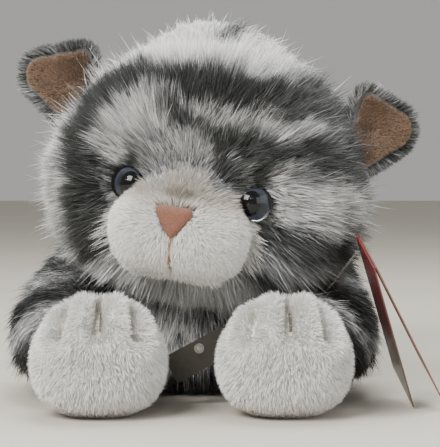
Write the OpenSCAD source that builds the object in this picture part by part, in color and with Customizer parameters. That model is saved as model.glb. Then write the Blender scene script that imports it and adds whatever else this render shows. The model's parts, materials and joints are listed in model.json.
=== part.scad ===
// Lying plush kitten, life in millimetres, +Z up, facing -Y.
// Origin: centre of the belly's flat underside, on the surface it lies on.
// Sewn covers are shells round separate stuffing solids; the pile is not part of the solids.

/* [Body] */
// Radius of the chest at the front of the body
chest_r = 36; // [28:0.5:44]
// Radius of the waist behind the chest
waist_r = 54; // [44:0.5:66]
// Radius of the raised rump
rump_r = 52; // [42:0.5:66]
// Radius of the lower hindquarters that rest on the ground
seat_r = 70; // [56:0.5:84]
// Distance from the origin back to the middle of the rump
rump_y = 82; // [68:1:98]
// Sideways shift of the rump, because the toy lies in a slight curve
rump_x = 9; // [0:0.5:11]
// Height of the top of the rump
rump_top = 195; // [155:1:230]

/* [Head] */
// Head width across the cheeks
head_w = 144; // [120:1:172]
// Head height from chin line to crown
head_h = 106; // [88:1:128]
// Distance from the origin forward to the middle of the head
head_y = 60; // [52:1:70]
// Sideways shift of the head
head_x = 7; // [0:0.5:10]
// Lean of the head towards +X
head_roll = 9; // [0:0.5:12]
// Turn of the head towards -X
head_yaw = 10; // [0:0.5:14]
// Radius of the stuffed neck
neck_r = 22; // [18:0.5:25]

/* [Face] */
// Diameter of one safety eye
eye_d = 16; // [13:0.5:18]
// Distance between the middles of the eyes
eye_gap = 62; // [56:0.5:70]
// Sideways shift of the pair of eyes, set by hand on the face
eye_shift = 2; // [0:0.5:4]
// Height of an eye's clear dome
eye_dome = 5.5; // [4:0.25:7]
// Radius of one muzzle lobe
muzzle_r = 17; // [14:0.5:19]
// Width of the nose
nose_w = 18; // [14:0.5:21]
// Thickness of the nose and mouth stitching
stitch_d = 1.8; // [1.2:0.1:2.4]

/* [Ears] */
// Length of an ear from its hinge line to its tip
ear_len = 38; // [32:0.5:46]
// Width of an ear along its hinge line
ear_w = 40; // [32:0.5:46]
// How far the right ear is folded back
ear_back_turn = 34; // [0:1:40]
// Thickness of the plush back of an ear
ear_back_t = 4; // [3:0.25:5]
// Thickness of the ear's lining
ear_lining_t = 1.6; // [1:0.1:2]

/* [Forelegs] */
// Radius of a foreleg at the shoulder and elbow
leg_r = 24; // [20:0.5:29]
// Radius of a front paw
paw_r = 25.5; // [21:0.5:30]
// Sideways distance of a front paw from the middle
paw_x = 42.5; // [38:0.5:49]
// Distance from the origin forward to the middle of a paw
paw_y = 126; // [116:1:140]

/* [Hind legs] */
// Radius of a thigh
thigh_r = 33; // [28:0.5:38]
// Radius of a hind foot
foot_r = 15.5; // [13:0.5:18.5]
// Length of a hind foot from the thigh's middle
foot_len = 62; // [54:1:66]

/* [Tail] */
// Radius of the tail
tail_r = 13.5; // [11:0.5:16]
// How far the tail reaches to the side
tail_reach = 92; // [80:1:106]

/* [Tags] */
// Width of the folded swing tag along its fold
tag_w = 45; // [38:1:52]
// Height of one leaf of the swing tag
tag_h = 74; // [62:1:75]
// Thickness of the card
card_t = 0.7; // [0.4:0.1:1]
// Length of the second card between the paws
note_l = 34; // [28:1:38]
// Height of the second card
note_h = 14; // [10:1:18]

/* [Making] */
// Thickness of the pile fabric's backing
cover_t = 1.6; // [1:0.1:2.4]
// Running clearance between pieces that move past each other
joint_gap = 1; // [0.6:0.1:1.6]
// Facets round a soft form
soft_fn = 24; // [20:2:32]

/* [Hidden] */
big = 600;
contact_gap = 0.3;

// Body
chest_c = [0, -20, chest_r - 2];
waist_c = [0, 30, waist_r - 4];
rump_c = [rump_x, rump_y, rump_top - rump_r];
seat_c = [0, rump_y + 3, seat_r * 0.8];

// Forelegs: the shoulder is the pivot, and the paw's seam is a plane across the wrist
leg_top = 61;
shoulder_c = [chest_r + leg_r + 2, -22, leg_top - leg_r];
elbow_c = [shoulder_c[0], -58, leg_top - leg_r - 8];
wrist_r = leg_r * 0.88;
wrist_c = [paw_x + 8, -paw_y + 28, wrist_r + 3];
paw_half = 3;
paw_c = [paw_x, -paw_y, paw_r - 1];
paw_seam = -paw_y + 18;

// Head: its own frame is symmetrical, and is leaned and turned into place
crown_r = head_h * 0.415;
cheek_r = head_h * 0.415;
cheek_x = head_w / 2 - cheek_r;
cheek_z = cheek_r - head_h / 2;
crown_z = head_h / 2 - crown_r;
head_c = [head_x, -head_y, 2 * paw_r + head_h / 2 + 7];
neck_c = [0, -16, chest_c[2] + chest_r + 14];

// Face, in the head's own frame
eye_y = -cheek_r - 0.3;
eye_z = -9.5;
lobe_x = 13.5;
lobe_c = [lobe_x, -cheek_r - 8.5, -28];
bridge_r = 13;
bridge_c = [0, -cheek_r + 4, -14];
nose_r = 3;
nose_y = lobe_c[1] - muzzle_r + 1.4;
nose_z = -22.5;
post_t = 1.6;
iris_t = 0.8;
pupil_t = 0.5;
shank_r = 2.2;
shank_l = 14;
washer_t = 1.6;
pupil_r = eye_d * 0.37;

// Ears: the base runs along a line that clears the cheek
ear_u = [0.9, 0.436];
ear_off = cheek_x * ear_u[0] + cheek_z * ear_u[1] + cheek_r + 8;
ear_y = 2;
ear_corner = 6;
ear_tip_r = 10.5;

// Hind legs
hip_c = [seat_r * 0.8, rump_y + 6, thigh_r + 3];
foot_x = seat_r + 8;

// Pellet bag: lies between the thighs' seats
pellet_r = 15;
pellet_x = max(hip_c[0] - thigh_r - pellet_r - 1, 1);

// Tail: a curved run of equal balls
tail_path = [
  [-20, seat_c[1] + seat_r - 4, 25],
  [10, seat_c[1] + seat_r + 19, 17],
  [tail_reach * 0.68, seat_c[1] + seat_r + 14, tail_r - 0.5],
  [tail_reach, seat_c[1] + seat_r - 14, tail_r - 0.5]
];

// Swing tag: the fold runs back and up from its front end, and both leaves hang from it
tag_fold = [82.5, -132, 67.6];
tag_axis_turn = 6.5;
tag_axis_rise = 18.2;
tag_lean = 18.6;
tag_open = 9.8;
pin_r = 0.6;

// ---------- shared forms ----------

module ball(c, r) {
  translate(c)
    sphere(r = r, $fn = soft_fn);
}

module above(z) {
  translate([-big / 2, -big / 2, z])
    cube([big, big, big]);
}

// ---------- body ----------

module body_form(inset) {
  intersection() {
    hull() {
      ball(chest_c, chest_r - inset);
      ball(waist_c, waist_r - inset);
      ball(rump_c, rump_r - inset);
      ball(seat_c, seat_r - inset);
      for (s = [-1, 1])
        ball([s * (chest_r - 4), -14, 38], 20 - inset);
    }
    above(inset);
  }
}

// Hollows that the neck, thighs, tail and the back of the head nest in, with room for their travel
module nest_room(extra) {
  hull()
    ball(neck_c, neck_r + extra);
  for (s = [-1, 1])
    hull()
      ball([s * hip_c[0], hip_c[1], hip_c[2]], thigh_r + extra);
  hull()
    ball(tail_path[0], tail_r + extra + 4);
  hull()
    ball([head_c[0], head_c[1], head_c[2] + 4], cheek_r + 23 + extra);
}

// Room for the forelegs, from their furthest turn inwards
module foreleg_room(extra) {
  for (s = [-1, 1])
    hull() {
      for (a = [0, 3])
        foreleg_swept(s, a, extra);
    }
}

module foreleg_swept(s, a, extra) {
  translate([s * shoulder_c[0], shoulder_c[1], 0])
    rotate([0, 0, -s * a])
      translate([-s * shoulder_c[0], -shoulder_c[1], 0]) {
        ball([s * shoulder_c[0], shoulder_c[1], shoulder_c[2]], leg_r + extra);
        ball([s * elbow_c[0], elbow_c[1], elbow_c[2]], leg_r + extra);
      }
}

module pellet_form() {
  intersection() {
    hull() {
      for (s = [-1, 1])
        ball([s * pellet_x, rump_y - 4, pellet_r - 1], pellet_r);
      ball([0, rump_y - 38, pellet_r - 1], pellet_r);
    }
    above(cover_t);
  }
}

module body_cover() {
  color("#8f9290")
    difference() {
      body_form(0);
      body_form(cover_t);
      nest_room(joint_gap);
      foreleg_room(joint_gap);
    }
}

module body_stuffing() {
  color("#f2f0ea")
    difference() {
      body_form(cover_t);
      nest_room(joint_gap + 1);
      foreleg_room(joint_gap + 1);
      pellet_form();
    }
}

module pellet_bag() {
  color("#e8e2d2")
    pellet_form();
}

// Blank woven label, caught in the left side seam near the tail
module care_label() {
  color("#f4f2ee")
    difference() {
      translate([-seat_r - 14, rump_y + 58, 26])
        rotate([0, 0, -38])
          cube([44, 0.5, 20]);
      body_form(0);
      translate([-hip_c[0], hip_c[1], hip_c[2]])
        sphere(r = thigh_r + 4);
    }
}

// Flat card that stands between the front paws, leaning on the chest's fluff
note_lean = -28;
note_c = [4.5, -96, 25];

module note_place() {
  translate(note_c)
    rotate([0, note_lean, 0])
      children();
}

module note_card() {
  color("#8c7f70")
    note_place()
      difference() {
        translate([-note_l / 2, 0, -note_h / 2])
          cube([note_l, card_t, note_h]);
        translate([0, -1, note_h / 2 - 4])
          rotate([-90, 0, 0])
            cylinder(r = 1.2, h = 3, $fn = 32);
      }
}

// Moulded nylon fastener between the chest and the card's hole
module note_pin() {
  color("#e9e9e6")
    difference() {
      union() {
        note_place()
          translate([0, -1.2, note_h / 2 - 4])
            rotate([-90, 0, 0])
              cylinder(r = pin_r, h = 50, $fn = 32);
        note_place()
          translate([0, -2, note_h / 2 - 4])
            rotate([-90, 0, 0])
              cylinder(r = 2.4, h = 1, $fn = 32);
      }
      body_form(0);
    }
}

// ---------- neck ----------

module neck_core() {
  color("#a7a9a6")
    translate(neck_c)
      sphere(r = neck_r);
}

// ---------- head ----------

module head_place() {
  translate(head_c)
    rotate([0, head_roll, -head_yaw])
      children();
}

module head_balls(inset) {
  for (s = [-1, 1])
    ball([s * cheek_x * 0.55, 4, crown_z], crown_r - inset);
  ball([0, 8, 0], cheek_r - inset);
  for (s = [-1, 1])
    ball([s * cheek_x, 0, cheek_z], cheek_r - inset);
}

module head_form(inset) {
  hull()
    head_balls(inset);
}

module muzzle_form(inset) {
  hull() {
    for (s = [-1, 1])
      ball([s * lobe_c[0], lobe_c[1], lobe_c[2]], muzzle_r - inset);
    ball(bridge_c, bridge_r - inset);
  }
}

module neck_room() {
  translate(neck_c)
    sphere(r = neck_r + joint_gap);
}

module eye_place(s) {
  translate([eye_shift + s * eye_gap / 2, eye_y, eye_z])
    rotate([90, 0, 0])
      children();
}

module head_cover() {
  color("#8a8d8b")
    difference() {
      head_place()
        difference() {
          head_form(0);
          head_form(cover_t);
          for (s = [-1, 1])
            eye_place(s)
              translate([0, 0, -shank_l - 1])
                cylinder(r = shank_r + 0.2, h = shank_l + 1.1);
        }
      neck_room();
    }
}

module head_stuffing() {
  color("#f2f0ea")
    difference() {
      head_place()
        difference() {
          head_form(cover_t);
          for (s = [-1, 1])
            eye_place(s)
              eye_hardware_room();
        }
      neck_room();
    }
}

// Space in the stuffing for the shank and its washer
module eye_hardware_room() {
  translate([0, 0, -shank_l - 0.2])
    cylinder(r = shank_r + 0.2, h = shank_l);
  translate([0, 0, -8])
    cylinder(r = eye_d / 2 + 0.2, h = washer_t + 0.4);
}

module muzzle_cover() {
  color("#f3f1ee")
    head_place()
      difference() {
        muzzle_form(0);
        muzzle_form(cover_t);
        head_form(0);
      }
}

module muzzle_stuffing() {
  color("#f2f0ea")
    head_place()
      difference() {
        muzzle_form(cover_t);
        head_form(0);
      }
}

module nose() {
  color("#b47660")
    head_place()
      difference() {
        hull() {
          for (s = [-1, 1])
            ball([s * (nose_w / 2 - nose_r), nose_y, nose_z + 4], nose_r);
          ball([0, nose_y - 0.4, nose_z - 5], nose_r);
        }
        muzzle_form(0);
      }
}

// Thread that runs from the nose down to the mouth, laid on the muzzle
module mouth_stitch() {
  color("#9a6040")
    head_place()
      difference() {
        for (z = [-32, -35.2, -38.4, -41.6])
          hull() {
            mouth_bead(z);
            mouth_bead(z - 2.8);
          }
        muzzle_form(0);
      }
}

module mouth_bead(z) {
  d = z - lobe_c[2];
  translate([0, lobe_c[1] - sqrt(muzzle_r * muzzle_r - d * d), z])
    sphere(d = stitch_d, $fn = 16);
}

// ---------- eyes ----------

module eye_post(s) {
  color("#101010")
    head_place()
      eye_place(s) {
        cylinder(r = eye_d / 2, h = post_t);
        translate([0, 0, -shank_l])
          cylinder(r = shank_r, h = shank_l);
      }
}

module eye_iris(s) {
  color("#3c434b")
    head_place()
      eye_place(s)
        translate([0, 0, post_t])
          cylinder(r = eye_d / 2 - 0.8, h = iris_t);
}

module eye_pupil(s) {
  color("#050505")
    head_place()
      eye_place(s)
        translate([0, 0, post_t + iris_t])
          cylinder(r = pupil_r, h = pupil_t);
}

// Clear dome with a stepped pocket over the iris and pupil
module eye_lens(s) {
  cap_r = (eye_d * eye_d / 4 + eye_dome * eye_dome) / (2 * eye_dome);
  color([0.9, 0.95, 1, 0.3])
    head_place()
      eye_place(s)
        translate([0, 0, post_t])
          difference() {
            intersection() {
              translate([0, 0, eye_dome - cap_r])
                sphere(r = cap_r);
              cylinder(r = eye_d, h = eye_dome + 1);
            }
            translate([0, 0, -1])
              cylinder(r = eye_d / 2 - 0.8, h = 1 + iris_t);
            translate([0, 0, -1])
              cylinder(r = pupil_r, h = 1 + iris_t + pupil_t);
          }
}

module eye_washer(s) {
  color("#e6e4de")
    head_place()
      eye_place(s)
        translate([0, 0, -7.8])
          difference() {
            cylinder(r = eye_d / 2, h = washer_t);
            translate([0, 0, -1])
              cylinder(r = shank_r + 0.05, h = washer_t + 2);
          }
}

// ---------- ears ----------

// Ear frame: x runs from the hinge line to the tip, z along the hinge line
module ear_place(s) {
  head_place()
    mirror([s < 0 ? 1 : 0, 0, 0])
      translate([ear_u[0] * ear_off, ear_y, ear_u[1] * ear_off])
        rotate([0, -3, 0])
          rotate([0, 0, s > 0 ? ear_back_turn : 0])
            children();
}

module ear_outline() {
  hull() {
    for (e = [-1, 1])
      translate([ear_corner, e * (ear_w / 2 - ear_corner)])
        circle(r = ear_corner, $fn = 32);
    translate([ear_len - ear_tip_r, ear_w * 0.06])
      circle(r = ear_tip_r, $fn = 48);
  }
}

module ear_slab(t, inset) {
  rotate([90, 0, 0])
    linear_extrude(height = t)
      offset(delta = -inset)
        ear_outline();
}

module ear_back(s) {
  color("#8a8d8b")
    ear_place(s)
      translate([0, ear_back_t, 0])
        ear_slab(ear_back_t, 0);
}

module ear_lining(s) {
  color("#b58a70")
    ear_place(s)
      ear_slab(ear_lining_t, 3);
}

// ---------- forelegs ----------

module paw_form(s, inset) {
  intersection() {
    hull() {
      for (d = [-1, 1])
        ball([s * paw_c[0] + d * paw_half, paw_c[1], paw_c[2]], paw_r - inset);
    }
    translate([-big / 2, paw_seam - inset - big, inset])
      cube([big, big, big]);
  }
}

module foreleg_form(s, inset) {
  intersection() {
    hull() {
      ball([s * shoulder_c[0], shoulder_c[1], shoulder_c[2]], leg_r - inset);
      ball([s * elbow_c[0], elbow_c[1], elbow_c[2]], leg_r - inset);
      ball([s * wrist_c[0], wrist_c[1], wrist_c[2]], wrist_r - inset);
    }
    translate([-big / 2, paw_seam + inset, inset])
      cube([big, big, big]);
  }
}

module foreleg_cover(s) {
  color("#7d807e")
    difference() {
      foreleg_form(s, 0);
      foreleg_form(s, cover_t);
    }
}

module foreleg_stuffing(s) {
  color("#f2f0ea")
    foreleg_form(s, cover_t);
}

module paw_cover(s) {
  color("#f6f4f1")
    difference() {
      paw_form(s, 0);
      paw_form(s, cover_t);
    }
}

module paw_stuffing(s) {
  color("#f2f0ea")
    paw_form(s, cover_t);
}

// Three threads that pull the toes in, each an arc laid on the paw
module toe_stitch(s) {
  color("#cfc9c0")
    for (d = [-13, 0, 13])
      translate([s * paw_c[0] + d, paw_c[1], paw_c[2]])
        rotate([0, 90, 0])
          rotate([0, 0, 218])
            rotate_extrude(angle = 37)
              translate([toe_ring(d) + stitch_d / 2 + 0.05, 0])
                circle(d = stitch_d, $fn = 24);
}

function toe_ring(d) =
  sqrt(paw_r * paw_r - pow(max(abs(d) - paw_half, 0), 2));

// ---------- hind legs ----------

module thigh_form(s, inset) {
  translate([s * hip_c[0], hip_c[1], hip_c[2]])
    sphere(r = thigh_r - inset);
}

module thigh_cover(s) {
  color("#8f9290")
    difference() {
      thigh_form(s, 0);
      thigh_form(s, cover_t);
    }
}

module thigh_stuffing(s) {
  color("#f2f0ea")
    thigh_form(s, cover_t);
}

module hind_foot(s) {
  color("#eceae6")
    difference() {
      intersection() {
        hull() {
          ball([s * foot_x, hip_c[1] - 6, foot_r - 0.5], foot_r);
          ball([s * foot_x, hip_c[1] - foot_len, foot_r - 0.5], foot_r);
        }
        above(0);
      }
      thigh_form(s, -contact_gap);
    }
}

// ---------- tail ----------

module tail_form(inset) {
  intersection() {
    union() {
      for (i = [0 : len(tail_path) - 2])
        hull() {
          ball(tail_path[i], tail_r - inset);
          ball(tail_path[i + 1], tail_r - inset);
        }
    }
    above(inset);
  }
}

module tail_cover() {
  color("#7d807e")
    difference() {
      tail_form(0);
      tail_form(cover_t);
    }
}

module tail_stuffing() {
  color("#f2f0ea")
    tail_form(cover_t);
}

// ---------- swing tag ----------

// Tag frame: y runs back along the fold, z up out of it, and a leaf hangs down -z
module tag_place(a) {
  translate(tag_fold)
    rotate([0, 0, tag_axis_turn])
      rotate([tag_axis_rise, 0, 0])
        rotate([0, -a, 0])
          children();
}

module tag_leaf() {
  difference() {
    translate([0, 0, -tag_h])
      cube([card_t, tag_w, tag_h]);
    translate([-1, tag_w * 0.8, -5])
      rotate([0, 90, 0])
        cylinder(r = 1.5, h = 4, $fn = 32);
  }
}

module tag_front() {
  color("#8e1f26")
    tag_place(tag_lean)
      tag_leaf();
}

module tag_back() {
  color("#9c3a36")
    tag_place(tag_lean + tag_open)
      translate([card_t + contact_gap, 0, 0])
        tag_leaf();
}

// Nylon fastener from the foreleg's seam up to the hole in the tag
module tag_pin() {
  color("#e9e9e6")
    difference() {
      hull() {
        translate([elbow_c[0] - 4, elbow_c[1] - 20, leg_top - 16])
          sphere(r = pin_r, $fn = 16);
        tag_place(tag_lean)
          translate([-1.8, tag_w * 0.8, -5])
            sphere(r = pin_r, $fn = 16);
      }
      foreleg_form(1, 0);
    }
}

body_cover();
body_stuffing();
pellet_bag();
care_label();
note_card();
note_pin();
neck_core();
head_cover();
head_stuffing();
muzzle_cover();
muzzle_stuffing();
nose();
mouth_stitch();
eye_post(-1);  // eye_post_left
eye_iris(-1);  // eye_iris_left
eye_pupil(-1);  // eye_pupil_left
eye_lens(-1);  // eye_lens_left
eye_washer(-1);  // eye_washer_left
eye_post(1);  // eye_post_right
eye_iris(1);  // eye_iris_right
eye_pupil(1);  // eye_pupil_right
eye_lens(1);  // eye_lens_right
eye_washer(1);  // eye_washer_right
ear_back(-1);  // ear_back_left
ear_lining(-1);  // ear_lining_left
ear_back(1);  // ear_back_right
ear_lining(1);  // ear_lining_right
foreleg_cover(-1);  // foreleg_cover_left
foreleg_stuffing(-1);  // foreleg_stuffing_left
paw_cover(-1);  // paw_cover_left
paw_stuffing(-1);  // paw_stuffing_left
toe_stitch(-1);  // toe_stitch_left
foreleg_cover(1);  // foreleg_cover_right
foreleg_stuffing(1);  // foreleg_stuffing_right
paw_cover(1);  // paw_cover_right
paw_stuffing(1);  // paw_stuffing_right
toe_stitch(1);  // toe_stitch_right
tag_pin();
thigh_cover(-1);  // thigh_cover_left
thigh_stuffing(-1);  // thigh_stuffing_left
hind_foot(-1);  // hind_foot_left
thigh_cover(1);  // thigh_cover_right
thigh_stuffing(1);  // thigh_stuffing_right
hind_foot(1);  // hind_foot_right
tail_cover();
tail_stuffing();
tag_front();
tag_back();
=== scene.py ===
"""Lying plush kitten: sewn skins stuffed tight, long tabby pile, safety eyes, ears, paws and tags."""

import json
import math

import bpy
import numpy as np
from mathutils import Matrix, Vector, kdtree
from mathutils.bvhtree import BVHTree


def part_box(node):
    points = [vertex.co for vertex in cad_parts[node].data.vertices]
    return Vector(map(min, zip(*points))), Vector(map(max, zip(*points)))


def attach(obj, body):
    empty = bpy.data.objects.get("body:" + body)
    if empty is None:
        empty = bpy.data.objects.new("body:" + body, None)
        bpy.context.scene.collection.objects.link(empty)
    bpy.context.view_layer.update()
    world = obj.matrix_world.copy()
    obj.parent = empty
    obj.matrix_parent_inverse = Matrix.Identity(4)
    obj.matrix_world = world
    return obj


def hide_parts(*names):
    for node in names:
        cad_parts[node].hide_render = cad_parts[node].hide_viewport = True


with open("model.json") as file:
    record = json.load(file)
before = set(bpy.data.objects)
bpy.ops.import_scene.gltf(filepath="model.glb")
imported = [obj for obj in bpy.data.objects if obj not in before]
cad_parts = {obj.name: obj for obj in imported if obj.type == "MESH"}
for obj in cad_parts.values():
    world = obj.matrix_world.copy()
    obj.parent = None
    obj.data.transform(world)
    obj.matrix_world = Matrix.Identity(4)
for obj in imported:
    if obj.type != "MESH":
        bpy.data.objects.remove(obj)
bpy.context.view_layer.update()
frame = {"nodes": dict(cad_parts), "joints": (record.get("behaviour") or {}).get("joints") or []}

bl_info = {
    "name": "Plush kitten maker",
    "version": (1, 0, 0),
    "blender": (4, 5, 0),
    "location": "View3D > Sidebar > Kitten",
    "description": "Sews, stuffs and brushes a lying plush kitten over its CAD frame",
    "category": "Object",
}

MM = 0.001
BAKE_MAP = "OFBake"

# Strands: spans from root to tip, their widths there, and how much their lengths differ.
SPANS = 2
TAPER = (0.85, 0.9)
RAGGED = 0.25

# Sewing threads, eyes, and the places that the pile keeps clear of.
MOUTH_THREAD_RADIUS = 0.0006
TOE_THREAD_RADIUS = 0.0007
BOWL_RADIUS, PUPIL_RADIUS, DOME_RADIUS = 0.0076, 0.0061, 0.0080
EYE_CLEARANCE = 0.0086
NECK_CLEARANCE = 0.0265
LINING_CLEARANCE = 0.0022


# ---------- sizes and colours that a user would change ----------


class KittenPileSizes(bpy.types.PropertyGroup):
    head_pile: bpy.props.FloatProperty(
        name="Head pile", description="Length of the shaggy pile on the head",
        default=0.018, min=0.008, max=0.03, unit="LENGTH")
    body_pile: bpy.props.FloatProperty(
        name="Body pile", description="Length of the pile on the body and legs",
        default=0.018, min=0.008, max=0.03, unit="LENGTH")
    paw_pile: bpy.props.FloatProperty(
        name="Paw pile", description="Length of the standing pile on the paws",
        default=0.0048, min=0.003, max=0.009, unit="LENGTH")
    muzzle_pile: bpy.props.FloatProperty(
        name="Muzzle pile", description="Length of the clipped pile on the muzzle",
        default=0.0054, min=0.003, max=0.01, unit="LENGTH")
    fullness: bpy.props.FloatProperty(
        name="Fullness", description="Share of the full number of pile strands",
        default=1.0, min=0.1, max=1.0, subtype="FACTOR")
    toe_depth: bpy.props.FloatProperty(
        name="Toe crease", description="How deep the toe stitches pull the paw in",
        default=0.0026, min=0.0, max=0.004, unit="LENGTH")


class KittenColours(bpy.types.PropertyGroup):
    charcoal: bpy.props.FloatVectorProperty(
        name="Stripe", description="Darkest stripe of the tabby pile",
        subtype="COLOR", default=(0.026, 0.028, 0.026))
    grey: bpy.props.FloatVectorProperty(
        name="Grey", description="Middle grey of the tabby pile",
        subtype="COLOR", default=(0.215, 0.222, 0.225))
    white: bpy.props.FloatVectorProperty(
        name="White", description="Lightest pile",
        subtype="COLOR", default=(0.90, 0.895, 0.88))
    paw_white: bpy.props.FloatVectorProperty(
        name="Paw white", description="Pile of the paws and muzzle",
        subtype="COLOR", default=(0.93, 0.92, 0.90))
    ear_peach: bpy.props.FloatVectorProperty(
        name="Ear lining", description="Napped lining of the ears",
        subtype="COLOR", default=(0.285, 0.185, 0.125))
    nose_clay: bpy.props.FloatVectorProperty(
        name="Nose", description="Flocked nose",
        subtype="COLOR", default=(0.20, 0.078, 0.046))
    tag_red: bpy.props.FloatVectorProperty(
        name="Tag red", description="Printed side of the swing tag",
        subtype="COLOR", default=(0.115, 0.012, 0.014))


def pile_sizes():
    return bpy.context.scene.kitten_pile


def colours():
    return bpy.context.scene.kitten_colours


# ---------- small helps ----------


def deselect():
    if bpy.context.object and bpy.context.object.mode != "OBJECT":
        bpy.ops.object.mode_set(mode="OBJECT")
    bpy.ops.object.select_all(action="DESELECT")


def pick(obj):
    deselect()
    obj.hide_viewport = False
    obj.select_set(True)
    bpy.context.view_layer.objects.active = obj


def coords(mesh):
    co = np.empty(len(mesh.vertices) * 3)
    mesh.vertices.foreach_get("co", co)
    return co.reshape(-1, 3)


def set_coords(mesh, co):
    mesh.vertices.foreach_set("co", np.ascontiguousarray(co, dtype=np.float64).ravel())
    mesh.update()


def middle(node):
    low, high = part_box(node)
    return (np.array(low) + np.array(high)) / 2


def unit(v):
    return v / np.maximum(np.linalg.norm(v, axis=-1, keepdims=True), 1e-9)


def smooth_step(a, b, x):
    t = np.clip((x - a) / (b - a), 0, 1)
    return t * t * (3 - 2 * t)


def waves(p, scale, seed):
    """Smooth random value from about -1 to 1 that changes over the distance scale."""
    rng = np.random.default_rng(seed)
    out = np.zeros(len(p))
    total = 0.0
    for octave in range(3):
        k = rng.normal(size=(5, 3)) * (3.2 / scale) * 1.9**octave
        phase = rng.uniform(0, 2 * math.pi, 5)
        weight = 0.6**octave
        out += weight * np.sin(p @ k.T + phase).sum(1) / 2.2
        total += weight
    return out / total


# ---------- materials ----------


def new_material(name, roughness=0.7, **sockets):
    mat = bpy.data.materials.new(name)
    mat.use_nodes = True
    shader = mat.node_tree.nodes["Principled BSDF"]
    shader.inputs["Roughness"].default_value = roughness
    for key, value in sockets.items():
        shader.inputs[key.replace("_", " ")].default_value = value
    return mat, mat.node_tree, shader


def add_node(tree, kind, **values):
    node = tree.nodes.new(kind)
    for key, value in values.items():
        setattr(node, key, value)
    return node


def ramp_node(tree, stops):
    node = tree.nodes.new("ShaderNodeValToRGB")
    ramp = node.color_ramp
    while len(ramp.elements) < len(stops):
        ramp.elements.new(0.5)
    for element, (place, colour) in zip(ramp.elements, stops):
        element.position = place
        element.color = (*colour, 1)
    return node


def scaled(colour, k):
    return tuple(min(1.0, c * k) for c in colour)


def mixed(a, b, t):
    return tuple(x + (y - x) * t for x, y in zip(a, b))


def tabby_stops():
    c = colours()
    dark, grey, white = tuple(c.charcoal), tuple(c.grey), tuple(c.white)
    return [(0.0, scaled(dark, 0.7)), (0.26, scaled(dark, 1.5)), (0.52, grey),
            (0.75, mixed(grey, white, 0.52)), (1.0, white)]


def white_stops():
    white = tuple(colours().paw_white)
    # The dark end gives the grey of the bridge and the painted shade in creases, near the floor and along the
    # nose.
    return [(0.0, (white[0] * 0.30, white[1] * 0.27, white[2] * 0.22)),
            (0.5, (white[0] * 0.80, white[1] * 0.77, white[2] * 0.72)), (1.0, white)]


def pile_material(name, stops, painted_root_shade=0.42, root_reach=0.55):
    """Pile: the map's first axis is the strand's tone, the second runs from root to tip, darker towards the root
    as painted shade deep in the pile.
    """
    mat, tree, shader = new_material(name, 0.7)
    shader.inputs["Specular IOR Level"].default_value = 0.22
    shader.inputs["Sheen Weight"].default_value = 0.18
    shader.inputs["Sheen Roughness"].default_value = 0.5
    uv = add_node(tree, "ShaderNodeUVMap", uv_map=BAKE_MAP)
    split = tree.nodes.new("ShaderNodeSeparateXYZ")
    tone = ramp_node(tree, stops)
    # Painted shade: the tone is multiplied down towards the root, where the pile is deep.
    depth = ramp_node(tree, [(0.0, (painted_root_shade,) * 3), (root_reach, (0.9,) * 3), (1.0, (1.0,) * 3)])
    mix = add_node(tree, "ShaderNodeMix", data_type="RGBA", blend_type="MULTIPLY")
    mix.inputs[0].default_value = 1.0
    tree.links.new(uv.outputs["UV"], split.inputs[0])
    tree.links.new(split.outputs["X"], tone.inputs[0])
    tree.links.new(split.outputs["Y"], depth.inputs[0])
    tree.links.new(tone.outputs["Color"], mix.inputs[6])
    tree.links.new(depth.outputs["Color"], mix.inputs[7])
    tree.links.new(mix.outputs[2], shader.inputs["Base Color"])
    return mat


def backing_material(name, stops, shade=0.5):
    """Knitted backing under the pile, in the pile's own tone at each place, scaled down by shade as painted shade
    under the pile.
    """
    mat, tree, shader = new_material(name, 0.9)
    tone = add_node(tree, "ShaderNodeAttribute", attribute_name="pile_tone")
    # Painted shade: the backing takes the pile's colours, darkened by shade.
    ramp = ramp_node(tree, [(p, scaled(c, shade)) for p, c in stops])
    place = tree.nodes.new("ShaderNodeTexCoord")
    knit = add_node(tree, "ShaderNodeTexNoise")
    knit.inputs["Scale"].default_value = 1400
    bump = tree.nodes.new("ShaderNodeBump")
    bump.inputs["Strength"].default_value = 0.5
    bump.inputs["Distance"].default_value = 0.0004
    tree.links.new(tone.outputs["Fac"], ramp.inputs[0])
    tree.links.new(ramp.outputs["Color"], shader.inputs["Base Color"])
    tree.links.new(place.outputs["Object"], knit.inputs["Vector"])
    tree.links.new(knit.outputs[0], bump.inputs["Height"])
    tree.links.new(bump.outputs["Normal"], shader.inputs["Normal"])
    return mat


def grained_material(name, colour, darker, scale, bump_depth, roughness, strength=0.6, **sockets):
    """Fine grain in colour and height, for flock, nap, thread, card and moulded pieces."""
    mat, tree, shader = new_material(name, roughness, **sockets)
    place = tree.nodes.new("ShaderNodeTexCoord")
    grain = add_node(tree, "ShaderNodeTexNoise")
    grain.inputs["Scale"].default_value = scale
    grain.inputs["Detail"].default_value = 4
    ramp = ramp_node(tree, [(0.3, darker), (0.7, colour)])
    bump = tree.nodes.new("ShaderNodeBump")
    bump.inputs["Strength"].default_value = strength
    bump.inputs["Distance"].default_value = bump_depth
    tree.links.new(place.outputs["Object"], grain.inputs["Vector"])
    tree.links.new(grain.outputs[0], ramp.inputs[0])
    tree.links.new(ramp.outputs["Color"], shader.inputs["Base Color"])
    tree.links.new(grain.outputs[0], bump.inputs["Height"])
    tree.links.new(bump.outputs["Normal"], shader.inputs["Normal"])
    return mat


def dress(obj, mat):
    obj.data.materials.clear()
    obj.data.materials.append(mat)


def dress_node(node, mat):
    obj = frame["nodes"][node]
    for slot in obj.material_slots:
        slot.material = mat
    if not obj.material_slots:
        obj.data.materials.append(mat)


# ---------- sewn and stuffed skins ----------


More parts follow.
